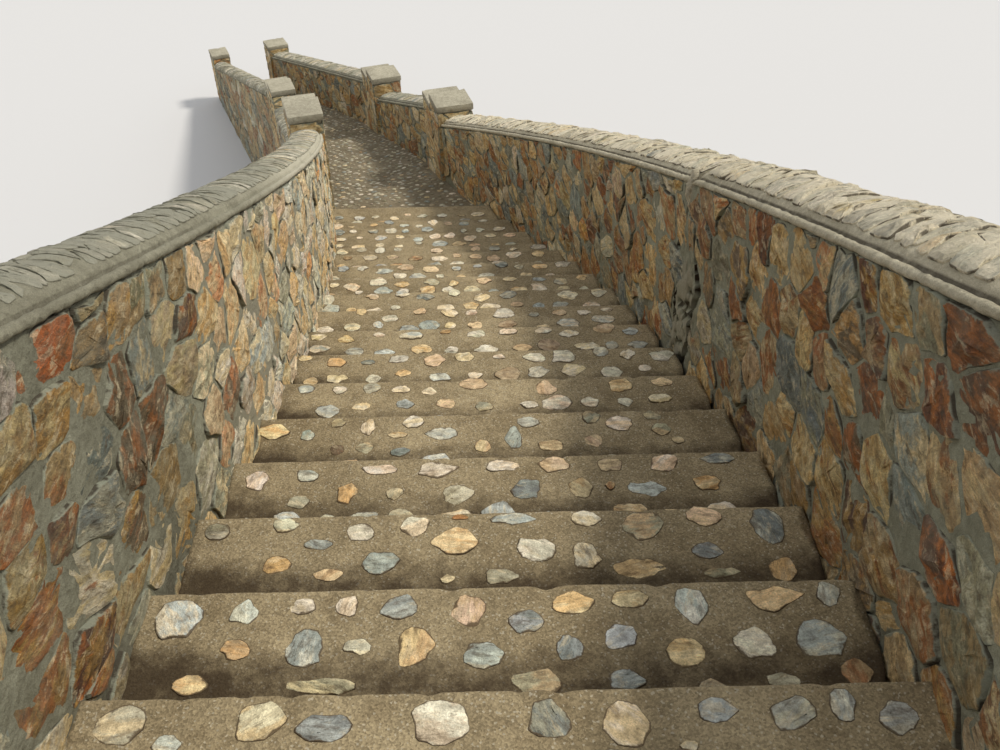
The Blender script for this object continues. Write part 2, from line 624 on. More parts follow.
# Masonry of the parapets
SAMPLES = {s: np.r_[np.arange(0, FOOT[s][1] - 0.06, 0.12), FOOT[s][1]] for s in WORD}
FACE_DEEP = 0.95


def parapet_strip(side, outer):
    """The inner or the outer face of a parapet."""
    ys = SAMPLES[side]
    facing = [outward(side, turn) for turn in wall_turns(side, ys)]
    points = [inner(side, y) + (THICK[side] if outer else 0) * out for y, out in zip(ys, facing)]
    sign, top = 1 if outer else -1, parapet_z(ys)
    return Strip(points, [sign * out for out in facing], top, FOOT_Z if outer else top - FACE_DEEP)


def bay_strip(side, bay, outer):
    """The inner or the outer face of a bay of ramp wall."""
    start, end, turn = bay[0][side], bay[1][side], bay[2][side]
    out = outward(side, turn)
    shift = THICK[side] * out if outer else np.zeros(2)
    low = FOOT_Z if outer else [float(ramp_z(p)) - 0.05 for p in (start, end)]
    return Strip([start + shift, end + shift], [(1 if outer else -1) * out] * 2, bay_tops(side, bay), low)


def lay(strip, mass, seed, sizes, look, fine=False, fixed=(), hidden=None, over=0.0, wide=None, tilt=-22.0,
        sway=1.0):
    """Fills a face with stones. look gives their mix of colours, rust and mortar film, or a function does."""
    rng = np.random.default_rng(seed)
    long, high, joint, proud, space = sizes
    length, deep, tilt = float(strip.u[-1]), float(np.max(strip.top - strip.low)), math.radians(tilt)
    seeds = courses(length, deep, long, high, tilt, rng, fixed)
    for poly, code in cells(seeds, length, strip.depth, long, high, tilt, joint, rng, over, wide):
        if hidden is not None and hidden(poly):
            continue
        ring = outline(poly, space, rng, 0.0016, 0.008)
        middle = ring.mean(0)
        u, v = ring.T
        end = np.minimum(u + over, length + over - u)
        side = np.minimum(v, strip.depth(middle[0]) - v)
        ring = ring + sway * np.c_[
            0.022 * ripple(u, v, seed + 1, 0.5, 2) * np.clip(end / 0.12, 0, 1),
            0.016 * ripple(u, v, seed + 2, 0.4, 2) * np.clip(side / 0.08, 0, 1),
        ]
        pair = colours(code, rng, *(look(*middle) if callable(look) else look))
        add_stone(mass, strip.at, ring, rng, proud * rng.uniform(0.55, 1.3), pair, fine=fine)


def placed(text):
    """Stones that are written in centimetres, each with its colour first, as tuples in metres."""
    rows = [row.split() for row in text.split(",")]
    return [(*[float(x) / 100 for x in row[1:]], row[0]) for row in rows]


# Stones that stand out nearest the eye: colour, distance along the wall and depth under the coping
FIXED = {
    RIGHT: placed("""
        m 62 5, g 77 5, o 92 5, m 105 5, s 119 10, t 133 5, o 145 8, c 162 10, m 177 5, r 190 7, t 202 6,
        d 214 10, r 235 8, m 255 7, m 50 16, m 66 19, t 79 20, m 94 17, d 107 19, o 132 17, c 146 24,
        r 162 26, c 178 18, d 193 22, g 215 25, t 42 33, t 55 34, b 68 33, g 80 33, m 92 31, o 105 33,
        r 118 32, c 131 30, c 173 34, r 190 35, d 225 34, g 35 47, m 46 52, b 64 48, c 79 44, d 92 46,
        o 104 45, s 120 45, s 136 43, r 155 46, t 180 47, b 202 50, c 222 52, g 32 65, t 46 67, c 66 67,
        m 82 63, c 98 58, c 120 60, o 142 66, k 162 60, t 178 62, o 93 77, t 112 76, g 126 76, c 140 80,
        m 162 76, o 210 68, c 232 66, m 252 66, o 280 34, s 266 36, t 284 50, g 247 50, t 242 77,
        b 262 80"""),
    LEFT: placed("""
        f 70 5, d 84 8, t 96 6, g 108 7, g 122 7, t 136 6, p 150 6, t 166 12, c 182 7, o 50 19, o 61 18,
        t 73 19, d 87 24, b 104 20, p 120 17, m 134 19, o 148 22, p 124 30, r 45 30, t 57 30, b 70 33,
        m 50 40, o 38 42, b 66 45, d 84 40, d 100 36, k 112 38, g 140 35, t 158 32, c 174 28, o 36 53,
        c 53 56, d 72 57, o 97 54, g 116 52, t 136 52, d 156 52, p 173 56, o 30 66, m 44 68, c 64 68,
        c 84 70, o 102 69, g 120 66, t 140 66, w 190 20, t 210 35, o 220 12"""),
}
# The broken joints in the right wall: distance along it, depth and half the width of the opening
CRACKS = (
    ((2.60, 0.10, 0.003), (2.61, 0.18, 0.007), (2.64, 0.25, 0.016), (2.67, 0.32, 0.024), (2.63, 0.39, 0.014),
     (2.61, 0.50, 0.006), (2.62, 0.60, 0.003)),
    ((2.46, 0.24, 0.004), (2.41, 0.34, 0.013), (2.35, 0.42, 0.026), (2.38, 0.49, 0.010), (2.40, 0.57, 0.008),
     (2.38, 0.65, 0.024), (2.42, 0.73, 0.017), (2.43, 0.82, 0.015), (2.42, 0.92, 0.010)),
)


def crack_gap(u, v):
    """How far a point of the right wall's face lies outside the broken joints, below zero inside them."""
    best = 9.0
    for line in CRACKS:
        for (u0, v0, w0), (u1, v1, w1) in zip(line[:-1], line[1:]):
            run, drop = u1 - u0, v1 - v0
            t = np.clip(((u - u0) * run + (v - v0) * drop) / (run**2 + drop**2), 0, 1)
            off = np.hypot(u - u0 - t * run, v - v0 - t * drop)
            best = np.minimum(best, off - (w0 + t * (w1 - w0)))
    return best


def in_patch(u, v):
    """Above zero on the plaster between the broken joints, and under the joint of the coping."""
    between = 1 - np.hypot((u - 2.50) / 0.135, (v - 0.60) / 0.27)
    return np.maximum(between, 1 - np.hypot((u - 2.578) / 0.035, v / 0.09))


def under_treads(poly):
    """Whether a stone of a parapet's inner face is wholly below the treads."""
    u, v = poly[:, 0].mean(), poly[:, 1].min()
    k = next((i for i in range(TREADS) if edge_y(i) > u), TREADS)
    floor = parapet_z(u) - (tread_z(k) if k < TREADS else tread_z(TREADS - 1) - 0.25)
    return v > floor + 0.01


LOOKS = {
    LEFT: lambda u, v: ((WALL_MIX, 1.0, 0.36, 0.77) if u + 0.5 * v < 1.5 else
                        (PALE_MIX, 0.12, 0.05, 1.85, 0.22)),
    RIGHT: lambda u, v: (WALL_MIX, 1.0, 0.35 if u < 0.7 else 0.22, 1.14, 0.06),
}
RAMP_LOOK = (WALL_MIX, 1.0, 0.3)
OUTER_LOOK = (OUTER_MIX, 0.8, 0.3, 0.88, 0.2)
PIER_LOOK = (BUFF_MIX, 0.4, 0.15, 1.2, 0.15)
# Stones of each kind of face: length, height, joint, how far they stand out and the space between points
NEAR_STONES = (0.18, 0.10, 0.0032, 0.0145, 0.034)
OUTER_STONES = (0.27, 0.165, 0.006, 0.010, 0.09)
RAMP_STONES = (0.17, 0.11, 0.006, 0.012, 0.07)
RAMP_OUTER_STONES = (0.25, 0.15, 0.006, 0.010, 0.09)
HIDDEN = {LEFT: under_treads, RIGHT: lambda poly: under_treads(poly) or in_patch(*poly.mean(0)) > 0}
LEAN = {LEFT: -28, RIGHT: -36}
WIDER = {LEFT: None, RIGHT: lambda u, v: 0.012 * float(crack_gap(u, v) < 0.03)}


def wall_mortar(side, u, v):
    """How far the mortar of a parapet's inner face stands out, and its dirt, below zero where it is fresh."""
    lumps = 0.010 * np.clip(ripple(u, v, 8 + side, 0.6) - 0.45, 0, 1)
    out = (0.0045 + 0.0028 * ripple(u, v, 5 + side, 0.11) + lumps) * np.minimum(1, v / 0.03)
    dirt = np.clip((v - 0.66) * 2.0, 0, 0.55)
    if side == LEFT:
        return out, dirt + (0.28 - 1.1 * np.clip((u - 1.1) / 0.6, 0, 1))
    fresh = in_patch(u, v) + 0.22 * ripple(u, v, 78, 0.07)
    flake = np.abs((v * 9 + 0.9 * ripple(u, v, 80, 0.25, 3)) % 1 - 0.5)
    lump = 0.010 + 0.008 * ripple(u * 0.8, v * 2, 79, 0.09, 5) - 0.016 * (flake < 0.07)
    gap = crack_gap(u, v) + 0.005 * ripple(u, v, 77, 0.05)
    out = np.where(gap < 0, -0.055, np.where(fresh > 0, lump, out))
    plaster = np.where(v < 0.15, -1.0, np.where(flake < 0.10, 0.8, -0.9))
    return out, np.where(gap < 0.004, 1.0, np.where(fresh > 0, plaster, dirt))


def dress_parapet(side):
    """The stones of a parapet's inner face, its mortar and body, and the stones of its outer face."""
    strip, behind = parapet_strip(side, False), parapet_strip(side, True)
    stones, body, outer = Mass(), Mass(), Mass()
    lay(strip, stones, 11 + side, NEAR_STONES, LOOKS[side], True, FIXED[side], HIDDEN[side],
        wide=WIDER[side], tilt=LEAN[side])
    stones.build(WORD[side] + "_wall_stones", WALL_STONE, "rubble_wall")
    at_cracks = np.arange(2.28, 2.74, 0.009) if side == RIGHT else []
    us = np.unique(np.round(np.r_[np.arange(0, strip.u[-1], 0.022), strip.u[-1], at_cracks], 4))
    u, v = np.meshgrid(us, np.r_[0, np.arange(0.02, FACE_DEEP, 0.02)], indexing="ij")
    out, dirt = wall_mortar(side, u, v)
    face, ends = strip.at(u, v, out), behind.at(us * behind.u[-1] / us[-1], 0 * us, 0 * us)
    low_in, low_out = face[:, -1].copy(), ends.copy()
    low_in[:, 2] = low_out[:, 2] = 0.0
    rings = np.concatenate([face, low_in[:, None], low_out[:, None], ends[:, None]], 1)
    loft(body, rings, dirt=np.c_[dirt, np.zeros((len(us), 3))].ravel())
    body.build(WORD[side] + "_wall_body", JOINTS, "rubble_wall", replaces=(WORD[side] + "_wall",), sharp=50)
    lay(behind, outer, 31 + side, OUTER_STONES, OUTER_LOOK)
    outer.build(WORD[side] + "_outer_stones", WALL_STONE, "rubble_wall")


dress_parapet(LEFT)
dress_parapet(RIGHT)

ramp_stones = Mass()
for i, side in enumerate(WORD):
    for j, bay in enumerate(BAYS):
        seed = 51 + 2 * i + j
        lay(bay_strip(side, bay, False), ramp_stones, seed, RAMP_STONES, RAMP_LOOK)
        lay(bay_strip(side, bay, True), ramp_stones, seed + 10, RAMP_OUTER_STONES, OUTER_LOOK)
ramp_stones.build("ramp_wall_stones", WALL_STONE, "rubble_wall")


# Masonry of the piers and behind the landing
def box_grid(n):
    """Points and faces of a box of n cells each way, as whole numbers."""
    points, faces = {}, []
    for axis in range(3):
        across, up = [i for i in range(3) if i != axis]
        for end in (0, n[axis]):
            for i, j in np.ndindex(n[across], n[up]):
                quad = []
                for di, dj in ((0, 0), (1, 0), (1, 1), (0, 1)):
                    p = [0, 0, 0]
                    p[axis], p[across], p[up] = end, i + di, j + dj
                    quad.append(points.setdefault(tuple(p), len(points)))
                faces.append(quad if (end > 0) == (axis != 1) else quad[::-1])
    return np.array(list(points), float), faces


def slab(mass, corners, z0, z1, seed):
    """A weathered slab on four plan corners: soft edges, knocks and a rough top."""
    rng = np.random.default_rng(seed)
    a, b = corners[1] - corners[0], corners[3] - corners[0]
    size = np.array([np.linalg.norm(a), np.linalg.norm(b), z1 - z0])
    n = [max(3, int(s / 0.02)) for s in size]
    points, faces = box_grid(n)
    q = points / n * size - size / 2
    r = 0.006
    core = np.clip(q, -(size / 2 - r), size / 2 - r)
    arm = q - core
    far = np.linalg.norm(arm, axis=1, keepdims=True)
    q = core + arm / np.maximum(far, 1e-9) * np.minimum(far, r)
    bottom = q[:, 2] < -size[2] / 2 + 1e-6
    q *= 1 - 0.006 * (0.5 + 0.5 * ripple(q[:, 0] * 2 + q[:, 2], q[:, 1] * 2 - q[:, 2], seed, 0.11))[:, None]
    for _ in range(7):
        s = rng.choice([-1, 1], 3) * size / 2
        s[rng.integers(2)] *= rng.uniform(-1, 1)
        s[2] = size[2] / 2 * rng.choice([1, 1, -1])
        reach = rng.uniform(0.012, 0.032)
        pull = np.clip(1 - np.linalg.norm(q - s, axis=1) / reach, 0, 1)[:, None]
        q -= pull * 0.35 * reach * np.sign(s) * [0.6, 0.6, 0.8]
    q[bottom, 2] = -size[2] / 2
    xy = (corners[0] + corners[2]) / 2 + q[:, :1] * (a / size[0]) + q[:, 1:2] * (b / size[1])
    dirt = np.clip(0.35 - 6 * np.abs(q[:, 2] + size[2] / 2), 0, 1)
    mass.add(np.c_[xy, (z0 + z1) / 2 + q[:, 2]], faces, dirt=dirt, closed=True)


def dress_pier(side, place, turn, levels, seed, lows, stones, caps):
    """Stones on the faces of a pier with one or two blocks, and its cap slabs on their necks. lows are the
    levels where its back, its front and its face to the way end."""
    a, o = along(turn), outward(side, turn)
    run = BLOCK * len(levels)
    near, far = place - PROUD * o, place + THICK[side] * o
    top, low = levels[0] + CAP_BED - 0.004, levels[-1] + CAP_BED - 0.004
    faces = [
        (near, near + run * a, -o, low, lows[2]), (far, far + run * a, o, low, FOOT_Z),
        (near, far, -a, top, lows[0]), (near + run * a, far + run * a, a, low, lows[1]),
    ]
    if len(levels) > 1:
        faces += [(near, near + BLOCK * a, -o, top, low), (far, far + BLOCK * a, o, top, low)]
    for i, (p, q, facing, z1, z0) in enumerate(faces):
        sizes = (0.26 if i == 1 else 0.20, min(0.135, (z1 - z0) * 0.95), 0.005, 0.009, 0.09)
        strip = Strip([p, q], [facing, facing], z1, z0)
        lay(strip, stones, seed + i, sizes, PIER_LOOK, over=0.004, tilt=0, sway=0.3)
    for i, z in enumerate(levels):
        for back, over, z0, z1, kind in (
            (0 if i else CAP_OVER, CAP_OVER, z + CAP_BED, z + CAP_THICK, 10),
            (-NECK_IN, -NECK_IN, z, z + CAP_BED + 0.01, 14),
        ):
            start, end = place + (i * BLOCK - back) * a, place + ((i + 1) * BLOCK + over) * a
            n, f = -(PROUD + over) * o, (THICK[side] + over) * o
            slab(caps, [start + n, end + n, end + f, start + f], z0, z1, seed + kind + i)


# How far under the ramp the stones of a pier's back, front and face to the way end
DROPS = (0.1, 0.3, 0.22)
pier_stones, cap_slabs = Mass(), {name: Mass() for name in ("top", "foot", "middle", "end")}
for i, side in enumerate(WORD):
    top_start = np.array([side * HALF_WAY, -2 * BLOCK])
    foot, middle, end = [float(ramp_z(place[side])) for place in (FOOT, MIDDLE, END)]
    for name, place, turn, blocks, seed, lows in (
        ("top", top_start, 0, 2, 200 + 20 * i, (LANDING_Z, parapet_z(0), LANDING_Z)),
        ("foot", FOOT[side], FOOT_TURN[side], 2, 250 + 40 * i, [foot - drop for drop in DROPS]),
        ("middle", MIDDLE[side], MIDDLE_TURN[side], 2, 270 + 40 * i, [middle - drop for drop in DROPS]),
        ("end", END[side], TURN_2[side], 1, 330 + 20 * i, (end - 0.05, FOOT_Z, FOOT_Z)),
    ):
        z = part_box("%s_%s_pier" % (name, WORD[side]))[1].z
        levels = [z - BLOCK_DROP * block for block in range(blocks)]
        dress_pier(side, place, turn, levels, seed, lows, pier_stones, cap_slabs[name])
pier_stones.build("pier_stones", WALL_STONE, "rubble_wall")
for name, mass in cap_slabs.items():
    mass.build(name + "_pier_caps_slabs", CAPS, "cap_stone", replaces=(name + "_pier_caps",), sharp=40)

back = Mass()
left_x, right_x = -HALF_WAY - THICK[LEFT], HALF_WAY + THICK[RIGHT]
for i, (p, q, facing, long) in enumerate((
    ((left_x, BACK_Y), (right_x, BACK_Y), (0, -1), 0.27),
    ((left_x, BACK_Y), (left_x, -0.6), (-1, 0), 0.22),
    ((right_x, BACK_Y), (right_x, -0.6), (1, 0), 0.22),
)):
    strip = Strip([p, q], [facing, facing], LANDING_Z - RISER, FOOT_Z)
    lay(strip, back, 301 + i, (long, 0.17, 0.006, 0.010, 0.09), OUTER_LOOK, over=0.004)
back.build("landing_back_stones", WALL_STONE, "core")


# Copings
class Crest(Strip):
    """The upper surface of a coping: u along it, w across it from the groove behind the roll, d out of it."""

    def __init__(self, side, points, turns, tops, rise):
        super().__init__(points, [outward(side, turn) for turn in turns], tops, 0.0)
        self.side = side
        width = THICK[side] + OVERHANG
        half = (width - BEAD / 2) / 2
        a = np.radians(np.linspace(180, 0, 21))
        self.sx = np.r_[BEAD / 2 + half + half * np.cos(a), width]
        self.sz = np.r_[2 * BEAD + (rise - 2 * BEAD) * np.sin(a), 0.0]
        self.w = np.r_[0, np.cumsum(np.hypot(np.diff(self.sx), np.diff(self.sz)))]
        tx, tz = np.gradient(self.sx), np.gradient(self.sz)
        size = np.hypot(tx, tz)
        self.nx, self.nz = -tz / size, tx / size

    def place(self, u, x, z):
        """A point at u, x outward from the inner face and z over the masonry."""
        return super().at(u, -z, x)

    def at(self, u, w, d):
        x, z, nx, nz = [np.interp(w, self.w, q) for q in (self.sx, self.sz, self.nx, self.nz)]
        return self.place(u, x + d * nx, z + d * nz)


def coping(mass, crest, seed, step, blunt=0.0, fade=0.0):
    """Hand-smoothed mortar with a roll along its inner edge and a groove behind it. blunt rounds its far end,
    and fade makes the mortar paler towards it."""
    us = np.linspace(0, crest.u[-1], max(2, int(crest.u[-1] / step) + 1))
    bead = np.radians(np.linspace(-90, 90, 9))
    section_x = np.r_[-0.002 - BEAD * np.cos(bead), 0.0045, crest.sx]
    section_z = np.r_[BEAD + BEAD * np.sin(bead), 1.45 * BEAD, crest.sz]
    m = len(section_x)
    u, i = np.meshgrid(us, np.arange(m), indexing="ij")
    x, z = section_x[i], section_z[i]
    wide, narrow = ripple(u, 0 * u, seed + 1, 0.35), ripple(u, 0 * u, seed + 2, 0.06)
    shrink = 1 - 0.20 * (0.5 + 0.5 * wide) - 0.30 * np.abs(narrow)
    roll = i < 9
    x = np.where(roll, -0.002 + (x + 0.002) * shrink, x)
    z = np.where(roll, BEAD + (z - BEAD) * shrink, z)
    back = (i > 10) & (i < m - 1)
    z = np.where(back, z + 0.0030 * ripple(u, x * 3, seed + 3, 0.30) - 0.0025, z)
    if blunt:
        t = np.clip((u - (crest.u[-1] - blunt)) / blunt, 0, 1)
        z = z * np.sqrt(np.clip(1 - 0.75 * t**2, 0, 1))
    groove = np.where((i >= 9) & (i <= 10), 0.75 if crest.side == RIGHT else 0.35, 0.0)
    soil = groove + np.where(i < 2, 0.5, 0.0)
    fresh = fade * np.clip((u - 1.6) / 2.2, 0, 1) * (1.15 + 0.5 * ripple(u, x * 2, seed + 4, 0.5))
    loft(mass, crest.place(u, x, z), dirt=(soil * (1 - 0.5 * (fresh > 0)) - fresh).ravel())


def crest_stones(mass, crest, seed, space, long, high, fine=False, trim=0.0, proud=0.007, film=0.45, pale=1.0,
                 fade=0.0):
    """Long flat stones set across a coping and skewed down the slope, their backs showing in the mortar."""
    rng = np.random.default_rng(seed)
    length, width, tilt = float(crest.u[-1]) - trim, float(crest.w[-1]), math.radians(60)
    first = 0.020
    seeds = courses(length, width, long, high, tilt, rng)
    free = width - first - 0.012
    for poly, _ in cells(seeds, length, lambda u: free, long, high, tilt, 0.0025, rng, over=-0.006):
        ring = outline(poly, space, rng, 0.0018, 0.010)
        middle = ring.mean(0)
        if rng.random() < 0.08 or middle[1] < 0.03 * rng.random():
            continue
        ring[:, 1] += 0.010 * ripple(ring[:, 0], ring[:, 1], seed + 1, 0.25, 2)
        ring[:, 0] += 0.010 * ripple(ring[:, 0], ring[:, 1], seed + 2, 0.20, 2)
        ring = np.clip(ring, (0.004, 0.002), (length - 0.004, width - first - 0.004))
        far = fade * min(1.0, max(0.0, (middle[0] - 1.6) / 2.2))
        pair = colours(None, rng, CREST_MIX, 0.1, film * (1 - 0.75 * far), pale * (1 + 0.4 * far), 0.25)
        add_stone(mass, lambda u, v, d: crest.at(u, v + first, d), ring, rng, proud * rng.uniform(0.5, 1.6),
                  pair, bury=0.008, fine=fine, soft=0.3)


def parapet_crest(side, y0, y1, rise):
    ys = np.r_[y0, [y for y in SAMPLES[side] if y0 + 0.02 < y < y1 - 0.02], y1]
    return Crest(side, [inner(side, y) for y in ys], wall_turns(side, ys), parapet_z(ys), rise)


# Mortar, stones, and how each coping's stones are set; the right one is paler and rougher
CREST_LOOKS = {
    LEFT: (CREST, CREST_STONE, dict(long=0.19, high=0.038, proud=0.0035, film=1.4, pale=0.95, fade=1.0)),
    RIGHT: (PALE_CREST, PALE_STONE, dict(long=0.25, high=0.052, proud=0.011, film=1.7, pale=1.3)),
}
near_stones = {LEFT: Mass(), RIGHT: Mass()}
for i, (node, side, y0, y1, rise, blunt) in enumerate((
    ("left_coping", LEFT, 0.0, FOOT[LEFT][1], RISE, 0.0),
    ("right_coping_upper", RIGHT, 0.0, JOINT_Y - 0.003, RISE + LIFT, 0.045),
    ("right_coping_lower", RIGHT, JOINT_Y + 0.003, FOOT[RIGHT][1], RISE, 0.0),
)):
    crest, mass = parapet_crest(side, y0, y1, rise), Mass()
    mortar, _, look = CREST_LOOKS[side]
    coping(mass, crest, 400 + 10 * i, 0.02, blunt, look.get("fade", 0.0))
    mass.build(node + "_mortar", mortar, "coping_mortar", replaces=(node,), sharp=0)
    crest_stones(near_stones[side], crest, 440 + i, 0.04, fine=True, trim=blunt, **look)
angles = np.linspace(0, 2 * math.pi, 14, endpoint=False)
ring = np.c_[JOINT_Y + 0.028 + 0.021 * np.cos(angles), 0.012 + 0.078 * np.sin(angles)]
plaster = [np.array([0.62, 0.58, 0.47, film]) for film in (0.0, 1.0)]
add_stone(near_stones[RIGHT], parapet_strip(RIGHT, False).at, ring, np.random.default_rng(450), 0.026,
          plaster, grime=0.5, soft=0.5)
for side, (_, stone, _) in CREST_LOOKS.items():
    near_stones[side].build(WORD[side] + "_coping_stones", stone, "coping_mortar")

far_stones = Mass()
for j, bay in enumerate(BAYS):
    starts, ends, _, turns, _ = bay
    mass = Mass()
    for i, side in enumerate(WORD):
        crest = Crest(side, [starts[side], ends[side]], [t[side] for t in turns], bay_tops(side, bay), RISE)
        coping(mass, crest, 460 + 10 * j + i, 0.04)
        crest_stones(far_stones, crest, 480 + 10 * j + i, 0.09, 0.22, 0.06)
    node = "ramp_copings_%d" % (j + 1)
    mass.build(node + "_mortar", CREST, "coping_mortar", replaces=(node,), sharp=0)
far_stones.build("ramp_coping_stones", CREST_STONE, "coping_mortar")

# Treads, the nearest with stones of their own: colour, place across, back from the nosing, width and depth
TREAD_STONES = {
    0: placed("""
        k -70 6 8.5 7.5, c -45 6 9 8.5, s -33.5 7.5 10 6, w -12 7 11 9, s 7.5 7 8 10, c 21 7.5 8.5 9,
        b 37.5 5.5 8 5, k 51.5 6.5 9 7, b 61 5 6 6, k 70 7.5 7 7, c 32 12.5 4 2, b -61 10 5 5"""),
    1: placed("""
        b -71 8 10 11, b -56.5 6 7 6, w -44 4.5 6 5, w -34.5 5 5 6, b -23 5.5 8 6, p -8 7 7 9, b 4.5 10 7 6,
        c 14.5 5.5 9 7, c 27.5 4.5 9 4.5, b 40.5 7 7 9, t 58.5 5.5 12 7, k 71 4.5 6 6, t -57 15.5 6 5,
        s -43 15.5 8.5 9, k -31.5 15.5 6 5, t -19.5 16 8 9, b -4.5 18.5 8.5 7, b 13.5 17 6 6, b 24 14.5 7 6,
        c 37.5 18.5 7.5 7, k 52 17 9 7, b 66 16.5 10 9, t 71.5 24.5 6 6, c -65 24 8 5, g -38 25 13 4,
        g 6 25 10 6, b 24 25 8 5, g 42 27 6 3, g 56 26 7 4"""),
    2: placed("""
        g -73.5 5 6 6, k -56 3.5 7 5, w -36.5 6.5 7 6, w -22.5 4.5 7 6.5, o -11 2 5 2, b 2 3 11 4,
        w 21 3.5 8 5, g 35.5 6 10 9, p 51.5 3.5 9 7, s 67 6.5 8 12, b -47 10 8 3, c -12.5 10 11 9,
        w 8 13 10 8, k 20.5 15.5 6.5 9, t -56 16.5 7 6, b -31 16.5 9 7, b 50.5 15 9 5, t 33 20 12 6,
        t -43 20 7 4, g -0.5 21.5 10 4.5, g 53 22 8 3, t 68 21 7 8, g -14 22 4 3"""),
    3: placed("""
        w -71 8 7 8, b -57 6.5 7 6, w -35.5 5 11 4.5, w -19 5.5 11 6, w 0 4.5 10 5, p 15.5 4.5 9 6,
        p 32 5 7 7, p 47 5 9 8, s 64 3.5 10 4.5, t -44.5 14 7 8, g -58 17 6 5, g -31 14.5 5 5,
        g -13 15.5 9 7, s 7 14 8 9, c 22.5 14 6.5 9, t 31 13.5 3 3, b 41 15 11 6, o 59 13 9 6"""),
    4: placed("""
        c -75 7 10 8, b -63 9 5 6, g -54 3.5 5 5, c -44 6 5 9, w -29 3.5 7 6, b -19 10 11 6, c -34 10 6 3,
        b 9 5 8 5, g 30 3 6 6, p 39 7 8 7, g 52 10 7 6, g 50 3 6 5, t 16 16.5 8 5, p 30 15 6 6,
        g -44 15.5 6 5, d -53 16 5 5, s -33 18 7 4, t -6 16 5 6, g 57 15.5 4 3, b 4 12 6 10"""),
}
BACK_ROWS = {0: (0.17, 0.25, 0.31), 3: (0.25, 0.31), 4: (0.25, 0.31)}
ROW = 0.098


def rows_of(x0, width, rows, rng):
    """Staggered rows of stones for a tread: across, back from the nosing, width, depth and no colour."""
    out = []
    for i, v in enumerate(rows):
        x = x0 + rng.uniform(0.03, 0.10)
        while x < x0 + width - 0.05:
            if rng.random() < (0.93 if i < 2 else 0.7):
                w = rng.uniform(0.055, 0.105)
                out.append((x, v + rng.normal(0, 0.014), w, w * rng.uniform(0.55, 0.95), None))
            x += rng.uniform(0.10, 0.165)
    return out


def set_stones(mass, spots, z, nosing_y, rng):
    """Flat, irregular stones sunk in concrete whose top is at z."""
    lift = z - 0.0016
    for x, back, w, h, code in spots:
        n = rng.integers(5, 8)
        angles = np.sort(np.linspace(0, 2 * math.pi, n, endpoint=False) + rng.uniform(-0.32, 0.32, n))
        r = rng.uniform(0.82, 1.12, (n, 1))
        poly = np.c_[w * 0.57 * np.cos(angles), h * 0.57 * np.sin(angles)] * r + (x, nosing_y - back)
        ring = outline(poly, 0.024, rng, 0.0013, 0.007)
        code = code or TREAD_MIX[rng.integers(len(TREAD_MIX))]
        pale, grey = (1.7, 0.35) if code in "bs" else (1.42, 0.2)
        pair = colours(code, rng, TREAD_MIX, rust=0.1, pale=pale, grey=grey)
        add_stone(mass, lambda u, v, d: np.stack([u, v, lift + d], -1), ring, rng,
                  0.0038 * rng.uniform(0.6, 1.3), pair, bury=0.006, rough=0.5, grime=0.8)


def worn_slab(mass, back_y, front_y, z, left, right, step, seed, dirty):
    """A slab of concrete a riser deep with a worn, knocked nosing. left and right give its ends at a y."""
    depth = front_y - back_y
    n = max(12, int((float(right(front_y)) - float(left(front_y))) / step))
    flat = np.r_[np.linspace(0, depth - 0.045, max(4, int(depth / 0.026))), depth - 0.03]
    nose = np.array([(0.011, 0.0003), (0.0055, 0.0016), (0.0022, 0.0042), (0.0006, 0.0085), (0, 0.015),
                     (0, 0.045), (0, 0.085), (0, RISER - 0.01), (0, RISER)])
    s, b = np.meshgrid(np.linspace(0, 1, n + 1), np.r_[flat, depth - nose[:, 0], 0.0], indexing="ij")
    d = np.broadcast_to(np.r_[0 * flat, nose[:, 1], RISER], s.shape)
    across = (s - 0.5) * 1.6
    wear = np.clip(0.9 + 0.8 * ripple(across, 0 * across, seed, 0.45), 0.2, 2.2)
    nosing = (b > depth - 0.035) & (d < RISER - 0.02)
    chips = 0.0018 * np.abs(ripple(across, d * 4, seed + 1, 0.035))
    back = np.where(nosing, 0.0016 * wear + chips, 0.0)
    sink = np.where((d > 0) & (d < 0.03), d * 0.3 * wear, 0.0)
    rng = np.random.default_rng(seed)
    for _ in range(9):
        at, w, bite = rng.uniform(-0.8, 0.8), rng.uniform(0.006, 0.02), rng.uniform(0.002, 0.006)
        pull = bite * np.exp(-(((across - at) / w) ** 2)) * np.clip(1 - d / 0.035, 0, 1) * nosing
        back, sink = back + pull, sink + pull * 0.6
    sink[:, :len(flat)] = (0.0016 + 0.0014 * ripple(across, b, seed + 2, 0.22))[:, :len(flat)]
    y = back_y + np.minimum(b, depth) - back
    x0, x1 = left(y), right(y)
    x = x0 + s * (x1 - x0)
    soil = np.clip((0.22 - b) / 0.11, 0, 1) ** 0.7 * dirty
    corner = np.exp(-((x - x0) / 0.15) ** 2) * 0.75 + np.exp(-((x1 - x) / 0.08) ** 2) * 0.45
    dirt = np.clip(soil + corner * np.clip(1.25 - b / 0.3, 0.25, 1), 0, 1) * (d < 0.02)
    dirt = dirt + np.where(d > 0.02, np.clip((d - 0.02) * 3.2, 0, 0.42), 0)
    loft(mass, np.stack([x, y, z - np.minimum(d + sink, RISER)], -1), dirt=dirt.ravel())


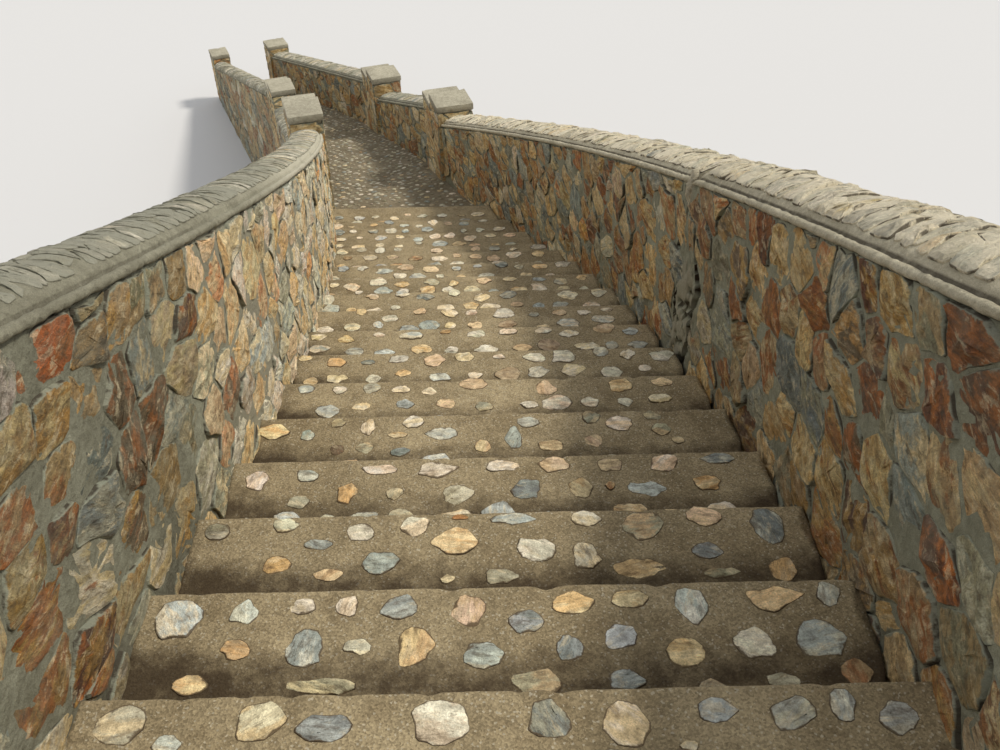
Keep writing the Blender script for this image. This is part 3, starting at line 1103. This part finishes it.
set_in = Mass()
for k in range(TREADS):
    y0, y1, z = edge_y(k - 1), edge_y(k), tread_z(k)
    gap = 0.024 if 1 <= k <= 8 else 0.006

    def right_end(y):
        return inner_x(RIGHT, y) - gap * (1 + 0.35 * np.sin(np.asarray(y) * 31 + k))

    mass, node = Mass(), "tread_%02d" % (k + 1)
    step = 0.012 if k < 6 else 0.022
    worn_slab(mass, y0, y1, z, lambda y: inner_x(LEFT, y), right_end, step, 500 + k, 0.85)
    mass.build(node + "_worn", CONCRETE, "tread_concrete", replaces=(node,), sharp=0)
    rng = np.random.default_rng(530 + k)
    left_end, span = float(inner_x(LEFT, y1)), float(inner_x(RIGHT, y1) - inner_x(LEFT, y1)) - gap
    spots, rows = TREAD_STONES.get(k, []), BACK_ROWS.get(k, ())
    if not spots:
        rows = [0.05 + ROW * i for i in range(int((y1 - y0 - 0.02) / ROW))]
        rows = rows[1:3] if k == TREADS - 1 else rows
    spots = [q for q in spots + rows_of(left_end, span, rows, rng)
             if q[1] < y1 - y0 - 0.03 and left_end + 0.02 < q[0] < left_end + span - 0.02]
    set_stones(set_in, spots, z, y1, rng)
set_in.build("tread_stones", TREAD_STONE, "tread_concrete")

landing, landing_stones = Mass(), Mass()
neck_y, neck_x = -2 * BLOCK, HALF_WAY - PROUD
worn_slab(landing, neck_y, 0.0, LANDING_Z, lambda y: -neck_x, lambda y: neck_x, 0.025, 560, 0.2)
worn_slab(landing, BACK_Y, neck_y, LANDING_Z, lambda y: left_x, lambda y: right_x, 0.03, 561, 0.2)
landing.build("landing_worn", CONCRETE, "tread_concrete", replaces=("landing",), sharp=0)
rng = np.random.default_rng(562)
spots = rows_of(-0.75, 1.5, np.arange(0.05, 0.60, 0.105), rng)
spots += rows_of(-0.98, 2.0, np.arange(0.66, 0.88, 0.10), rng)
set_stones(landing_stones, spots, LANDING_Z, 0.0, rng)
landing_stones.build("landing_stones", TREAD_STONE, "tread_concrete")


# Pebbles of the ramp
def pier_corners(side, place, turn, blocks):
    """Plan corners of the side of a pier that stands out into the way."""
    shift, run = -PROUD * outward(side, turn[side]), blocks * BLOCK * along(turn[side])
    start = place[side]
    return [start, start + shift, start + shift + run, start + run]


def way_edge(side):
    """The edge of the paved way on one side, from its foot pier to the end of the ramp."""
    line = pier_corners(side, FOOT, FOOT_TURN, 2) + pier_corners(side, MIDDLE, MIDDLE_TURN, 2)
    return line + pier_corners(side, END, TURN_2, 1)[:-1]


past_steps = [inner(RIGHT, y) for y in np.linspace(STEPS_Y, STEPS_Y + PAST_STEPS, 9)[:-1]]
way = np.array(way_edge(LEFT) + (past_steps + way_edge(RIGHT))[::-1])


def margin(p):
    """Distance of plan points from the edge of the paved way, below zero outside it."""
    inside, near = np.zeros(len(p), bool), np.full(len(p), 9.0)
    for a, b in zip(way, np.roll(way, -1, 0)):
        e = b - a
        t = np.clip((p - a) @ e / max(e @ e, 1e-12), 0, 1)
        near = np.minimum(near, np.linalg.norm(p - a - t[:, None] * e, axis=1))
        if abs(e[1]) > 1e-9:
            crossed = (a[1] > p[:, 1]) != (b[1] > p[:, 1])
            inside ^= crossed & (p[:, 0] < a[0] + e[0] * (p[:, 1] - a[1]) / e[1])
    return np.where(inside, near, -near)


def lay_pebbles(mass, pitch, jitter, n):
    """Pebbles with n sides in staggered rows over the ramp, each three rings and a tip."""
    rng = np.random.default_rng(600)
    low, high = way.min(0), way.max(0)
    x, y = np.meshgrid(np.arange(low[0], high[0], pitch), np.arange(low[1], high[1], pitch * 0.87))
    x[1::2] += pitch / 2
    spots = np.c_[x.ravel(), y.ravel()] + rng.uniform(-jitter, jitter, (x.size, 2))
    spots = spots[margin(spots) > 0.016]
    count = len(spots)
    size, flat = rng.uniform(0.016, 0.034, (count, 1)), rng.uniform(0.6, 0.95, (count, 1))
    turn = rng.uniform(0, math.pi, (count, 1))
    angles = np.linspace(0, 2 * math.pi, n, endpoint=False)
    r = rng.uniform(0.85, 1.12, (count, n))
    a, b = size * r * np.cos(angles), size * flat * r * np.sin(angles)
    arm = np.stack([np.cos(turn) * a - np.sin(turn) * b, np.sin(turn) * a + np.cos(turn) * b], -1)
    tall = rng.uniform(0.005, 0.010, (count, 1))
    rings = []
    for share, up in ((1.0, -0.6), (0.96, 0.25), (0.62, 0.85)):
        xy = spots[:, None] + share * arm
        rings.append(np.concatenate([xy, (ramp_z(xy) + up * tall)[..., None]], -1))
    tips = np.c_[spots, ramp_z(spots) + tall[:, 0]]
    co = np.concatenate(rings + [tips[:, None]], 1)
    points = co.shape[1]
    faces = []
    for part in dome(n, len(rings)):
        starts = np.arange(0, count * points, points)[:, None, None]
        faces += [tuple(f) for f in (starts + np.array(part)).reshape(-1, len(part[0]))]
    pairs = [colours(None, rng, PEBBLE_MIX, grey=0.3) for _ in range(count)]
    tone, tint = [np.repeat(rows, points, 0) for rows in zip(*pairs)]
    dirt = np.tile(np.r_[np.ones(n), np.full(n, 0.7), np.zeros(n + 1)], count)
    uv = (co[:, :, :2] + rng.uniform(-9, 9, (count, 1, 2))).reshape(-1, 2)
    mass.add(co, faces, tone, tint, 0.8 * dirt, uv)


pebbles = Mass()
lay_pebbles(pebbles, 0.082, 0.018, 7)
pebbles.build("ramp_pebbles", PEBBLE, "pebble_paving", sharp=0)

# Floor, light and camera
RIM_POINTS, FLOOR_RADIUS = 64, 120
floor_mesh = bpy.data.meshes.new("floor")
ring = [(FLOOR_RADIUS * math.cos(a) - 2, FLOOR_RADIUS * math.sin(a) + 7, 0.0)
        for a in np.linspace(0, 2 * math.pi, RIM_POINTS, endpoint=False)]
floor_mesh.from_pydata(ring, [], [tuple(range(RIM_POINTS))])
floor = bpy.data.objects.new("floor", floor_mesh)
bpy.context.scene.collection.objects.link(floor)
stage = Shader(bpy.data.materials.new("stage"))
floor_mesh.materials.append(stage.finish((0.63, 0.625, 0.62, 1), 0.95, 0.1))

# The world lights softly, and shows pale where the camera or a reflection sees it
world = bpy.data.worlds.new("studio")
bpy.context.scene.world = world
sky = Shader(world)
sky.tree.nodes.clear()
path = sky.node("LightPath").outputs
seen = sky.math("MAXIMUM", path["Is Camera Ray"], path["Is Glossy Ray"])
soft = sky.node("Background", Color=(0.95, 0.97, 1.0, 1), Strength=0.70).outputs[0]
pale = sky.node("Background", Color=(0.80, 0.79, 0.77, 1), Strength=1.0).outputs[0]
blend = sky.node("MixShader")
for socket, value in zip(blend.inputs, (seen, soft, pale)):
    sky.put(socket, value)
sky.node("OutputWorld", Surface=blend.outputs[0])

lamp = bpy.data.lights.new("key", "SUN")
lamp.energy, lamp.angle, lamp.color = 2.4, math.radians(9), (1.0, 0.95, 0.86)
key = bpy.data.objects.new("key", lamp)
key.rotation_euler = Vector((0.60, 0.05, 0.80)).to_track_quat("Z", "Y").to_euler()
bpy.context.scene.collection.objects.link(key)

EYE, PITCH, ROLL = (0.0, -0.70, 6.826), math.radians(50.4), math.radians(-1.3)
camera_data = bpy.data.cameras.new("camera")
camera_data.lens, camera_data.sensor_width, camera_data.sensor_fit = 36.0, 36.0, "HORIZONTAL"
camera_data.clip_end = 300
camera = bpy.data.objects.new("camera", camera_data)
camera.matrix_world = Matrix.Translation(EYE) @ Matrix.Rotation(PITCH, 4, "X") @ Matrix.Rotation(ROLL, 4, "Z")
bpy.context.scene.collection.objects.link(camera)
bpy.context.scene.camera = camera
bpy.context.scene.view_settings.view_transform = "Standard"
